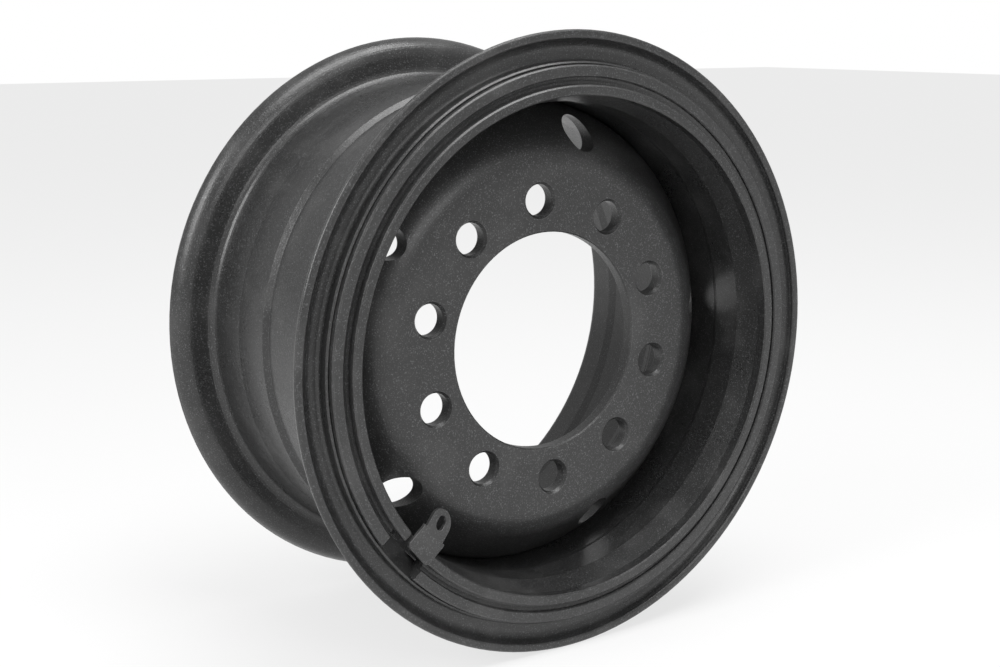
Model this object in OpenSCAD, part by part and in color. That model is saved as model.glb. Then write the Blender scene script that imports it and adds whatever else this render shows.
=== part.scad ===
// Steel truck wheel for a tube-type tyre: a rolled rim base with one fixed flange, a stamped disc with
// ball-seat stud holes, a loose endless side ring as the other flange, and a split lock ring in a gutter.
// The wheel's axis is Y, the lock-ring side looks along -Y, and y = 0 is the face that sits on the hub.
// Sizes are in millimetres. Section outlines are lists of [radius, y] points.

/* [Rim] */
// Diameter of both bead seats at the flange
seat_d = 514.4; // [500:0.1:530]
// Distance between the two flanges
rim_w = 254; // [225:1:300]
// Distance from the hub face forward to the tyre side of the side ring
front_reach = 40; // [34:1:60]
// Width of each tapered bead seat
seat_w = 40; // [25:1:55]
// Angle of the bead seat taper
seat_taper = 5; // [3:0.5:6]
// Depth of the well below the bead seats
well_drop = 4.7; // [2:0.1:8]
// Distance from the fixed flange to the step into the well
step_in = 101; // [70:1:120]
// Wall of the rim base at the well
wall = 7.5; // [6:0.5:10]
// Thickness of the rim base under the fixed flange
root_t = 13; // [10:0.5:16]
// Length of the thick root under the fixed flange
root_w = 26; // [18:1:40]

/* [Flanges] */
// Outside diameter of the fixed flange
fixed_flange_d = 598; // [590:1:625]
// Outside diameter of the side ring
side_ring_d = 618; // [600:1:630]
// Thickness of both flanges
flange_t = 9; // [7:0.5:11]
// Distance that both flanges curl away from the tyre
curl_w = 20; // [16:0.5:24]
// Radius of the bead heel at both flanges
heel_r = 10; // [6:0.5:13]

/* [Gutter and rings] */
// Distance that the gutter lip stands out beyond the side ring
lip_out = 12; // [9:0.5:18]
// Thickness of the gutter lip along the axis
lip_t = 9; // [7:0.5:11]
// Height of the gutter lip's end face
lip_h = 10; // [8:0.5:13]
// Depth of the gutter
gutter_h = 5.5; // [4:0.5:7]
// Width of the gutter
gutter_w = 14; // [12:0.5:17]
// Clearance of the side ring over the gutter lip
ring_gap = 1; // [0.5:0.1:2]
// Clearance of the lock ring in the gutter and under the side ring
seat_gap = 0.2; // [0.1:0.05:0.4]
// Radial height of the lock ring's front face
lock_face_h = 12; // [9:0.5:14]
// Distance that the lock ring stands out beyond the side ring
lock_out = 8; // [5:0.5:11]
// Open space between the ends of the lock ring
lock_split = 52; // [30:1:70]

/* [Disc] */
// Thickness of the disc at the hub
disc_t = 14; // [10:0.5:16]
// Thickness of the disc's skirt
skirt_t = 10; // [7:0.5:12]
// Diameter of the centre bore
bore_d = 221; // [200:0.5:240]
// Diameter of the stud circle
stud_circle_d = 285.75; // [275:0.05:300]
// Number of stud holes
stud_count = 10; // [8:1:12]
// Diameter of a stud hole
stud_hole_d = 32; // [26:0.5:34]
// Radius of the ball seat at a stud hole
ball_r = 22.2; // [21:0.1:24]
// Diameter of a ball seat at the disc's face
ball_mouth_d = 37; // [35:0.5:40]
// Radius of the flat hub area
flat_r = 176; // [168:0.5:182]
// Radius of the bend round the flat hub area
shoulder_r = 40; // [30:1:45]
// Slope of the disc's cone
cone_angle = 48; // [44:1:52]
// Radius of the bend from the cone to the skirt
skirt_bend_r = 30; // [22:1:34]
// Length of the straight part of the skirt
skirt_w = 40; // [25:1:50]
// Number of hand holes
hand_count = 5; // [2:1:5]
// Diameter of a hand hole
hand_hole_d = 36; // [28:1:40]
// Distance of the hand holes from the axis
hand_circle_r = 212; // [208:0.5:216]
// Leg of the weld at the end of the skirt
weld_leg = 8; // [5:0.5:9]

/* [Valve slot and bracket] */
// Direction of the valve slot and the lock ring's split, clockwise from the top
valve_at = -130; // [-150:1:-110]
// Width of the valve slot
slot_w = 26; // [20:1:30]
// Length of the valve slot from the gutter lip
slot_l = 84; // [60:1:95]
// Thickness of the valve bracket
bracket_t = 3.5; // [2.5:0.5:5]
// Width of the bracket's foot
foot_w = 32; // [30:1:38]
// Length of the bracket's foot
foot_l = 23; // [18:1:28]
// Sideways offset of the bracket from the valve slot
bracket_offset = -6; // [-9:0.5:-4]
// Width of the bracket's tab
tab_w = 26; // [20:1:30]
// Length of the bracket's tab
tab_l = 31; // [26:1:38]
// Angle that the tab leans into the wheel
tab_lean = 19; // [5:1:30]
// Width of the valve hole in the tab
valve_hole_w = 10; // [7:0.5:12]
// Length of the valve hole in the tab
valve_hole_l = 15; // [12.5:0.5:18]

/* [Hidden] */
$fn = 180;

// Radii of the rim base
seat_r = seat_d / 2;
toe_r = seat_r - seat_w * tan(seat_taper);
well_r = toe_r - well_drop;
inner_r = well_r - wall;
root_r = seat_r - root_t;
lip_in_r = seat_r - lip_h;
gutter_r = seat_r - gutter_h;

// Places along the axis, from the lock-ring side to the fixed flange
front_y = -front_reach;
ring_edge_y = front_y - curl_w;
lip_y = ring_edge_y - lip_out;
gutter_y = lip_y + lip_t;
land_y = gutter_y + gutter_w;
front_toe_y = front_y + heel_r + 2 + seat_w;
rear_y = front_y + rim_w;
step_y = rear_y - step_in;
rear_edge_y = rear_y + curl_w;

// Small edge roundings and bevels
edge_r = 3;
bevel = 1.5;
well_ramp = 10;
step_ramp = 5;

// Stud and hand holes stand midway between each other
stud_from = -3.5;
hand_from = stud_from + 180 / stud_count;

// Points along a bend: centre c, radius r, from angle a to angle b, from the radial direction towards +Y
function bend(c, r, a, b, steps = 8) =
    [for (i = [0 : steps]) let (t = a + (b - a) * i / steps) c + r * [cos(t), sin(t)]];

// A flange's curl and lip: outer radius top_r, tyre side at wall_y, and dir is the side that it curls to.
// The points run up the tyre side, round the lip and back down the open side.
function flange_points(top_r, wall_y, dir) =
    let (c = [top_r - curl_w, wall_y + dir * curl_w], lip_inner_r = top_r - flange_t)
    concat(
        bend(c, curl_w, -90 * dir, -9 * dir, 12),
        bend([top_r - edge_r, c[1] - dir * edge_r], edge_r, 0, 90 * dir, 4),
        bend([lip_inner_r + edge_r, c[1] - dir * edge_r], edge_r, 90 * dir, 180 * dir, 4),
        bend(c, curl_w - flange_t, -25 * dir, -90 * dir, 8)
    );

// Turns a section of [radius, y] points about the wheel's axis
module turned(points) {
    rotate([-90, 0, 0])
        rotate_extrude()
            polygon(points);
}

// Places children, made at the top of the wheel, at an angle clockwise from the top
module at_angle(a) {
    rotate([0, a, 0])
        children();
}

// A hole along the wheel's axis
module axial_hole(r, d, y0, y1) {
    translate([0, y0, r])
        rotate([-90, 0, 0])
            cylinder(d = d, h = y1 - y0);
}

// Section of the rim base: gutter lip, gutter, bead seats, well, fixed flange and thick root
function rim_base_points() =
    let (back_y = rear_y + flange_t, corner_r = 8, root_y = back_y - corner_r - root_w)
    concat(
        [
            [lip_in_r + bevel, lip_y],
            [seat_r - bevel, lip_y],
            [seat_r, lip_y + bevel],
            [seat_r, gutter_y],
            [gutter_r, gutter_y],
            [gutter_r, land_y],
            [seat_r, land_y],
            [seat_r, front_toe_y - seat_w],
            [toe_r, front_toe_y],
            [well_r, front_toe_y + well_ramp],
            [well_r, step_y - step_ramp],
            [toe_r, step_y],
            [toe_r, rear_y - heel_r - seat_w]
        ],
        bend([seat_r + heel_r, rear_y - heel_r], heel_r, 180, 90, 6),
        flange_points(fixed_flange_d / 2, rear_y, 1),
        bend([root_r + corner_r, back_y - corner_r], corner_r, 90, 180, 6),
        [
            [root_r, root_y],
            [toe_r - wall, root_y - 2 * edge_r - step_ramp],
            [toe_r - wall, step_y],
            [inner_r, step_y - well_ramp],
            [inner_r, front_toe_y - 2 * step_ramp],
            [inner_r - 1, front_toe_y - 3 * step_ramp],
            [inner_r - 1, gutter_y + 2 * gutter_w],
            [lip_in_r, gutter_y + edge_r],
            [lip_in_r, lip_y + bevel]
        ]
    );

module rim_base() {
    color([0.16, 0.16, 0.17])
        difference() {
            turned(rim_base_points());
            at_angle(valve_at)
                valve_slot();
        }
}

// The slot runs from the gutter lip to a round end under the tyre
module valve_slot() {
    cut_h = 2 * root_t + lip_h;
    translate([0, 0, seat_r - cut_h + lip_h])
        linear_extrude(cut_h) {
            translate([-slot_w / 2, lip_y - 1])
                square([slot_w, slot_l - slot_w / 2 + 1]);
            translate([0, lip_y + slot_l - slot_w / 2])
                circle(d = slot_w, $fn = 48);
        }
}

// Section of the disc: flat hub area, shoulder, cone and a skirt that lies inside the rim base
function disc_points() =
    let (
        skirt_r = inner_r - seat_gap,
        face_y = -disc_t,
        shoulder = [flat_r, face_y + shoulder_r],
        cone_start = shoulder + shoulder_r * [sin(cone_angle), -cos(cone_angle)],
        bend_c_r = skirt_r - skirt_bend_r,
        bend_start_r = bend_c_r + skirt_bend_r * sin(cone_angle),
        bend_start_y = cone_start[1] + (bend_start_r - cone_start[0]) * tan(cone_angle),
        skirt_bend = [bend_c_r, bend_start_y + skirt_bend_r * cos(cone_angle)],
        end_y = skirt_bend[1] + skirt_w
    )
    concat(
        [[bore_d / 2 + bevel, 0], [bore_d / 2, -bevel], [bore_d / 2, face_y + bevel], [bore_d / 2 + bevel, face_y]],
        bend(shoulder, shoulder_r, -90, -90 + cone_angle, 12),
        bend(skirt_bend, skirt_bend_r, -90 + cone_angle, 0, 10),
        [[skirt_r, end_y - bevel], [skirt_r - bevel, end_y], [skirt_r - skirt_t + bevel, end_y]],
        [[skirt_r - skirt_t, end_y - bevel]],
        bend(skirt_bend, skirt_bend_r - skirt_t, 0, -90 + cone_angle, 10),
        bend(shoulder, shoulder_r - disc_t, -90 + cone_angle, -90, 12)
    );

// Where the skirt ends, for the weld
function skirt_end_y() = max([for (p = disc_points()) p[1]]);

module disc() {
    ball_y = -disc_t - sqrt(ball_r * ball_r - ball_mouth_d * ball_mouth_d / 4);
    color([0.17, 0.17, 0.18])
        difference() {
            turned(disc_points());
            for (i = [0 : stud_count - 1])
                at_angle(stud_from + i * 360 / stud_count) {
                    axial_hole(stud_circle_d / 2, stud_hole_d, -disc_t - 1, 1);
                    translate([0, ball_y, stud_circle_d / 2])
                        sphere(r = ball_r, $fn = 64);
                }
            for (i = [0 : hand_count - 1])
                at_angle(hand_from + i * 360 / hand_count)
                    axial_hole(hand_circle_r, hand_hole_d, -disc_t - 1, skirt_end_y());
        }
}

// Fillet weld that joins the end of the disc's skirt to the rim base
module disc_weld() {
    y0 = skirt_end_y();
    crown = 1.2;
    outer = [inner_r, y0 + weld_leg];
    lower = [inner_r - weld_leg, y0];
    color([0.15, 0.15, 0.16])
        turned([[inner_r, y0], outer, (outer + lower) / 2 + [-crown, crown], lower]);
}

// Cone between the lock ring and the side ring
wedge_low = [seat_r + ring_gap + 4, land_y];
wedge_top = [seat_r + lock_face_h + 8, ring_edge_y - bevel];

// Section of the side ring: bead heel, wall, curled lip, channel and the nose over the lock ring
function side_ring_points() =
    let (
        ring_bore_r = seat_r + ring_gap,
        top_r = side_ring_d / 2,
        nose_r = wedge_top[0] + 2,
        nose_fillet = 4,
        heel_c = [seat_r + 2 + ring_gap + heel_r, front_y + heel_r]
    )
    concat(
        [[ring_bore_r, land_y + 4], [ring_bore_r, heel_c[1]]],
        bend(heel_c, heel_r, 180, 270, 6),
        flange_points(top_r, front_y, -1),
        bend([nose_r + nose_fillet, front_y - flange_t - nose_fillet], nose_fillet, 90, 180, 4),
        [[nose_r, ring_edge_y], [nose_r - bevel, ring_edge_y - bevel], wedge_top, wedge_low]
    );

module side_ring() {
    color([0.19, 0.19, 0.20])
        turned(side_ring_points());
}

// Section of the lock ring: a foot in the gutter, a cone under the side ring and a flat front face
function lock_ring_points() =
    let (
        face_y = ring_edge_y - lock_out,
        face_top_r = wedge_top[0] - 1,
        face_low_r = face_top_r - lock_face_h,
        slope = (wedge_top - wedge_low)[1] / (wedge_top - wedge_low)[0],
        foot_y0 = gutter_y + seat_gap,
        foot_y1 = land_y - seat_gap
    )
    [
        [gutter_r + seat_gap, foot_y0],
        [gutter_r + seat_gap, foot_y1],
        [wedge_low[0] - 2 * seat_gap, foot_y1],
        [face_top_r, wedge_low[1] + slope * (face_top_r - wedge_low[0]) - 2 * seat_gap],
        [face_top_r, face_y + bevel],
        [face_top_r - bevel, face_y],
        [face_low_r + bevel, face_y],
        [face_low_r, face_y + bevel],
        [face_low_r, gutter_y - 1],
        [face_low_r - 4, foot_y0]
    ];

module lock_ring() {
    color([0.20, 0.20, 0.21])
        difference() {
            turned(lock_ring_points());
            at_angle(valve_at)
                translate([-lock_split / 2, lip_y - curl_w, seat_r - 2 * gutter_h])
                    cube([lock_split, 2 * curl_w + gutter_w, 3 * lock_face_h]);
        }
}

// Bent clip on the gutter lip: its foot closes the valve slot and its tab holds the valve stem
module valve_bracket() {
    foot_top_r = seat_r + 2;
    fold_r = foot_top_r - foot_l;
    color([0.22, 0.22, 0.23])
        at_angle(valve_at)
            translate([bracket_offset, lip_y, fold_r])
                intersection() {
                    bracket_side();
                    bracket_plan();
                }
}

// Side view of the bracket, wider than it needs: foot up from the fold, tab down and inwards from it
module bracket_side() {
    fold_in_r = 3;
    c = [fold_in_r, 0];
    tab_dir = [sin(tab_lean), -cos(tab_lean)];
    start_in = c + fold_in_r * [-cos(tab_lean), -sin(tab_lean)];
    start_out = start_in - bracket_t * [cos(tab_lean), sin(tab_lean)];
    rotate([90, 0, 90])
        translate([0, 0, -foot_w])
            linear_extrude(2 * foot_w)
                polygon(concat(
                    [[0, foot_l + 1], [-bracket_t, foot_l + 1]],
                    bend(c, fold_in_r + bracket_t, 180, 180 + tab_lean, 4),
                    [start_out + tab_l * 1.2 * tab_dir, start_in + tab_l * 1.2 * tab_dir],
                    bend(c, fold_in_r, 180 + tab_lean, 180, 4)
                ));
}

// Front view of the bracket: a square foot with bevelled corners and a round-ended tab with a long hole
module bracket_plan() {
    tab_drop = tab_l * cos(tab_lean);
    corner = 3;
    hole_straight = valve_hole_l - valve_hole_w;
    rotate([90, 0, 0])
        translate([0, 0, -foot_w])
            linear_extrude(2 * foot_w)
                difference() {
                    union() {
                        polygon([
                            [-foot_w / 2, -bracket_t], [foot_w / 2, -bracket_t],
                            [foot_w / 2, foot_l - corner], [foot_w / 2 - corner, foot_l],
                            [corner - foot_w / 2, foot_l], [-foot_w / 2, foot_l - corner]
                        ]);
                        translate([-tab_w / 2, tab_w / 2 - tab_drop])
                            square([tab_w, tab_drop - tab_w / 2]);
                        translate([0, tab_w / 2 - tab_drop])
                            circle(d = tab_w, $fn = 64);
                    }
                    for (s = [-0.5, 0.5])
                        translate([0, tab_w / 2 - tab_drop + s * hole_straight])
                            circle(d = valve_hole_w, $fn = 48);
                    translate([-valve_hole_w / 2, tab_w / 2 - tab_drop - hole_straight / 2])
                        square([valve_hole_w, hole_straight]);
                }
}

rim_base();
disc();
disc_weld();
side_ring();
lock_ring();
valve_bracket();
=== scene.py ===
# Black painted truck wheel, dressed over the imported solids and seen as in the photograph.
import math

import bpy
from mathutils import Matrix, Vector


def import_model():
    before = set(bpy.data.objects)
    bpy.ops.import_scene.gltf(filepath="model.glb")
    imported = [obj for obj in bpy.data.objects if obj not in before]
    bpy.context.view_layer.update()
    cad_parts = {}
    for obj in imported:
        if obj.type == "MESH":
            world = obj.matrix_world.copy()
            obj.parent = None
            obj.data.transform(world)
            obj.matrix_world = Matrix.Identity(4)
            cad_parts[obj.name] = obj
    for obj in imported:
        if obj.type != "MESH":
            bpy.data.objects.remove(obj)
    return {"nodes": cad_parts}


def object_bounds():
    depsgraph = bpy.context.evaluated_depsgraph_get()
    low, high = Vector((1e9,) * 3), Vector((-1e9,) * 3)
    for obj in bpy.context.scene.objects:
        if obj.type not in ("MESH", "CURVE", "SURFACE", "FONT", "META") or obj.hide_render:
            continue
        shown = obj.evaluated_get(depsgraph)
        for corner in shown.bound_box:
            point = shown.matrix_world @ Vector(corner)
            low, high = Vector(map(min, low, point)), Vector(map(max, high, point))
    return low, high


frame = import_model()
cad_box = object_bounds()

MM = 0.001

# Camera, fitted to the stud holes of the photograph, and the photograph's width and focal length in pixels
CAMERA_AT = Vector((-946.9, -1279.3, 316.4)) * MM
CAMERA_AZIMUTH = -35.1
CAMERA_ELEVATION = 11.05
PHOTO_WIDTH_PX = 1000
FOCAL_PX = 1600
SENSOR_MM = 36
NEAR_CLIP = 0.01

# Floor: side and drop under the wheel in metres, tone, glow towards the camera and share of shade kept
FLOOR_SIZE = 30.0
FLOOR_DROP = 0.0002
FLOOR_TONE = 0.8
FLOOR_GLOW = 1.0
FLOOR_SHADE_KEPT = 0.3

# Strength of the white surroundings as a light, where the camera sees them at 1
SKY_LIGHT = 0.55

# Lamps: place, the point they face and size in metres, and power in watts
LAMPS = {
    "overhead": ((0.3, -0.6, 2.6), (0, 0, 0), (2.2, 1.4), 60),
    "left": ((-2.2, -0.2, 1.3), (0, 0.1, 0), (1.0, 1.4), 30),
    "front": ((-0.2, -3.0, 1.4), (0, 0, 0), (1.6, 1.0), 18),
}

# Paint texture scales, per metre: orange peel, lumps, dust patches, painted glints, and the break-up of
# the lighter edges (painted edge highlight and wear)
PEEL_SCALE = 520.0
LUMP_SCALE = 130.0
PATCH_SCALE = 14.0
GLINT_SCALE = 760.0
EDGE_BREAKUP_SCALE = 55.0

# Paint tones of the painted glints, dust, and the lighter edges (painted edge highlight and rubbed wear)
PAINTED_GLINT_TONE = 0.16
DUST_TONE = 0.11
EDGE_HIGHLIGHT_AND_WEAR_TONE = 0.20

# Paint relief: rounding of edges and height of the skin in metres, and its strength
EDGE_ROUND = 0.0011
EDGE_SAMPLES = 6
SKIN_HEIGHT = 0.0009
SKIN_STRENGTH = 0.35

# Paint shell: refraction of the paint, and weight and roughness of its clear coat
PAINT_IOR = 1.5
COAT_WEIGHT = 0.25
COAT_ROUGHNESS = 0.22


class Nodes:
    """A small builder for material nodes."""

    def __init__(self, tree):
        self.tree = tree

    def add(self, kind, inputs=(), **settings):
        node = self.tree.nodes.new(kind)
        for key, value in settings.items():
            setattr(node, key, value)
        for key, value in dict(inputs).items():
            self.put(node.inputs[key], value)
        return node

    def put(self, socket, value):
        if isinstance(value, bpy.types.NodeSocket):
            self.tree.links.new(value, socket)
        else:
            socket.default_value = value

    def math(self, operation, a, b=0.0, clamp=False):
        return self.add("ShaderNodeMath", {0: a, 1: b}, operation=operation, use_clamp=clamp).outputs[0]

    def mix(self, factor, a, b):
        node = self.add("ShaderNodeMix", {0: factor, 6: a, 7: b}, data_type="RGBA")
        return node.outputs[2]

    def noise(self, where, scale, detail=3.0, roughness=0.55):
        inputs = {"Vector": where, "Scale": scale, "Detail": detail, "Roughness": roughness}
        return self.add("ShaderNodeTexNoise", inputs).outputs["Fac"]

    def steps(self, value, low, high, to_low=0.0, to_high=1.0):
        inputs = {"Value": value, "From Min": low, "From Max": high, "To Min": to_low, "To Max": to_high}
        return self.add("ShaderNodeMapRange", inputs, interpolation_type="SMOOTHSTEP").outputs[0]


def grey(value, warmth=0.0):
    return (value * (1 + warmth), value, value * (1 - warmth), 1.0)


def empty_tree(owner):
    """Node builder for the emptied tree of a material or world."""
    owner.use_nodes = True
    owner.node_tree.nodes.clear()
    return Nodes(owner.node_tree)


def paint(name, base, gloss, glint_amount=1.0, grain=1.0):
    """Semi-gloss black paint with an orange-peel skin, painted glints (bright specks in the colour), thin
    dust, and edges lightened as painted edge highlight and rubbed wear.
    """
    material = bpy.data.materials.new(name)
    n = empty_tree(material)
    place = n.add("ShaderNodeTexCoord").outputs["Object"]

    peel = n.noise(place, PEEL_SCALE, 2.0)
    lumps = n.noise(place, LUMP_SCALE, 3.0)
    patches = n.noise(place, PATCH_SCALE, 4.0, 0.6)
    glint_noise = n.noise(place, GLINT_SCALE, 1.0)

    # Painted glints: small bright specks mixed into the colour in place of sparkle highlights
    painted_glint_mask = n.steps(glint_noise, 0.56, 0.74, 0.0, 0.55 * glint_amount)
    with_painted_glints = n.mix(painted_glint_mask, grey(base), grey(PAINTED_GLINT_TONE, -0.02))
    dusty = n.mix(n.steps(patches, 0.48, 0.72, 0.0, 0.22), with_painted_glints, grey(DUST_TONE, 0.01))

    soft_edge = n.add("ShaderNodeBevel", {"Radius": EDGE_ROUND}, samples=EDGE_SAMPLES).outputs[0]
    flat = n.add("ShaderNodeNewGeometry").outputs["Normal"]
    turn = n.add("ShaderNodeVectorMath", {0: soft_edge, 1: flat}, operation="DOT_PRODUCT").outputs["Value"]
    # Painted edge highlight and rubbed wear: the colour is lightened along edges, broken up by noise
    edge = n.steps(turn, 0.985, 0.86)
    edge_breakup = n.steps(n.noise(place, EDGE_BREAKUP_SCALE, 4.0), 0.42, 0.62, 0.15, 0.75)
    edge_highlight_and_wear = n.math("MULTIPLY", edge, edge_breakup, clamp=True)
    colour = n.mix(edge_highlight_and_wear, dusty, grey(EDGE_HIGHLIGHT_AND_WEAR_TONE))

    patch_gloss = n.steps(patches, 0.3, 0.75, -0.05, 0.10)
    peel_gloss = n.steps(peel, 0.3, 0.7, gloss - 0.05, gloss + 0.06)
    rough = n.math("ADD", patch_gloss, peel_gloss)
    fine = n.math("MULTIPLY", peel, 0.45 * grain)
    coarse = n.math("MULTIPLY", lumps, 0.9 * grain)
    relief = {"Strength": SKIN_STRENGTH, "Distance": SKIN_HEIGHT, "Height": n.math("ADD", fine, coarse)}
    bump = n.add("ShaderNodeBump", {**relief, "Normal": soft_edge}).outputs[0]

    surface = {"Base Color": colour, "Roughness": rough, "Normal": bump, "IOR": PAINT_IOR}
    coat = {"Coat Weight": COAT_WEIGHT, "Coat Roughness": COAT_ROUGHNESS}
    shader = n.add("ShaderNodeBsdfPrincipled", {**surface, **coat})
    n.add("ShaderNodeOutputMaterial", {"Surface": shader.outputs[0]})
    return material


def dress():
    """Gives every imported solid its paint."""
    finishes = {
        "rim_base": paint("paint_rim", base=0.020, gloss=0.34, grain=1.1),
        "disc": paint("paint_disc", base=0.024, gloss=0.42, glint_amount=1.2, grain=0.8),
        "disc_weld": paint("paint_weld", base=0.018, gloss=0.36, grain=1.6),
        "side_ring": paint("paint_side_ring", base=0.022, gloss=0.34, grain=0.9),
        "lock_ring": paint("paint_lock_ring", base=0.024, gloss=0.36, grain=1.2),
        "valve_bracket": paint("paint_bracket", base=0.028, gloss=0.36, grain=0.8),
    }
    for name, material in finishes.items():
        node = frame["nodes"][name]
        for slot in node.material_slots:
            slot.material = material
        if not node.material_slots:
            node.data.materials.append(material)


def floor_white():
    """A pale surface that the camera sees as white, apart from its shadows."""
    material = bpy.data.materials.new("floor_white")
    n = empty_tree(material)
    path = n.add("ShaderNodeLightPath").outputs
    mirrored = n.math("MAXIMUM", path["Is Glossy Ray"], path["Is Transmission Ray"])
    seen = n.math("MAXIMUM", path["Is Camera Ray"], mirrored)
    pale = n.add("ShaderNodeBsdfDiffuse", {"Color": grey(FLOOR_TONE)})
    white = n.add("ShaderNodeEmission", {"Color": grey(1.0), "Strength": FLOOR_GLOW})
    share = n.math("MULTIPLY", seen, 1.0 - FLOOR_SHADE_KEPT)
    both = n.add("ShaderNodeMixShader", {0: share, 1: pale.outputs[0], 2: white.outputs[0]})
    n.add("ShaderNodeOutputMaterial", {"Surface": both.outputs[0]})
    return material


def floor():
    low = cad_box[0]
    bpy.ops.mesh.primitive_plane_add(size=FLOOR_SIZE, location=(0, 0, low[2] - FLOOR_DROP))
    plane = bpy.context.object
    plane.name = "floor"
    plane.data.materials.append(floor_white())


def world():
    """White for the eye, and a softer grey as a light and in reflections."""
    scene = bpy.context.scene
    if scene.world is None:
        scene.world = bpy.data.worlds.new("world")
    n = empty_tree(scene.world)
    path = n.add("ShaderNodeLightPath").outputs
    straight = n.math("MAXIMUM", path["Is Camera Ray"], path["Is Transmission Ray"])
    light = n.math("ADD", n.math("MULTIPLY", straight, 1.0 - SKY_LIGHT), SKY_LIGHT)
    sky = n.add("ShaderNodeBackground", {"Color": grey(1.0), "Strength": light})
    n.add("ShaderNodeOutputWorld", {"Surface": sky.outputs[0]})


def softbox(name, at, towards, size, power):
    lamp = bpy.data.lights.new(name, "AREA")
    lamp.shape = "RECTANGLE"
    lamp.size, lamp.size_y = size
    lamp.energy = power
    holder = bpy.data.objects.new(name, lamp)
    bpy.context.collection.objects.link(holder)
    holder.location = Vector(at)
    holder.rotation_euler = (Vector(towards) - Vector(at)).to_track_quat("-Z", "Y").to_euler()


def lights():
    for name, (at, towards, size, power) in LAMPS.items():
        softbox(name, at, towards, size, power)


def camera():
    az, el = math.radians(CAMERA_AZIMUTH), math.radians(CAMERA_ELEVATION)
    right = Vector((math.cos(az), math.sin(az), 0))
    ahead = Vector((-math.sin(az) * math.cos(el), math.cos(az) * math.cos(el), -math.sin(el)))
    up = right.cross(ahead)
    turn = Matrix((right, up, -ahead)).transposed().to_4x4()
    lens = bpy.data.cameras.new("camera")
    lens.sensor_width = SENSOR_MM
    lens.lens = FOCAL_PX / PHOTO_WIDTH_PX * SENSOR_MM
    lens.clip_start = NEAR_CLIP
    holder = bpy.data.objects.new("camera", lens)
    bpy.context.collection.objects.link(holder)
    holder.matrix_world = Matrix.Translation(CAMERA_AT) @ turn
    bpy.context.scene.camera = holder


bpy.context.scene.view_settings.view_transform = "Standard"
camera()
world()
lights()
floor()
dress()
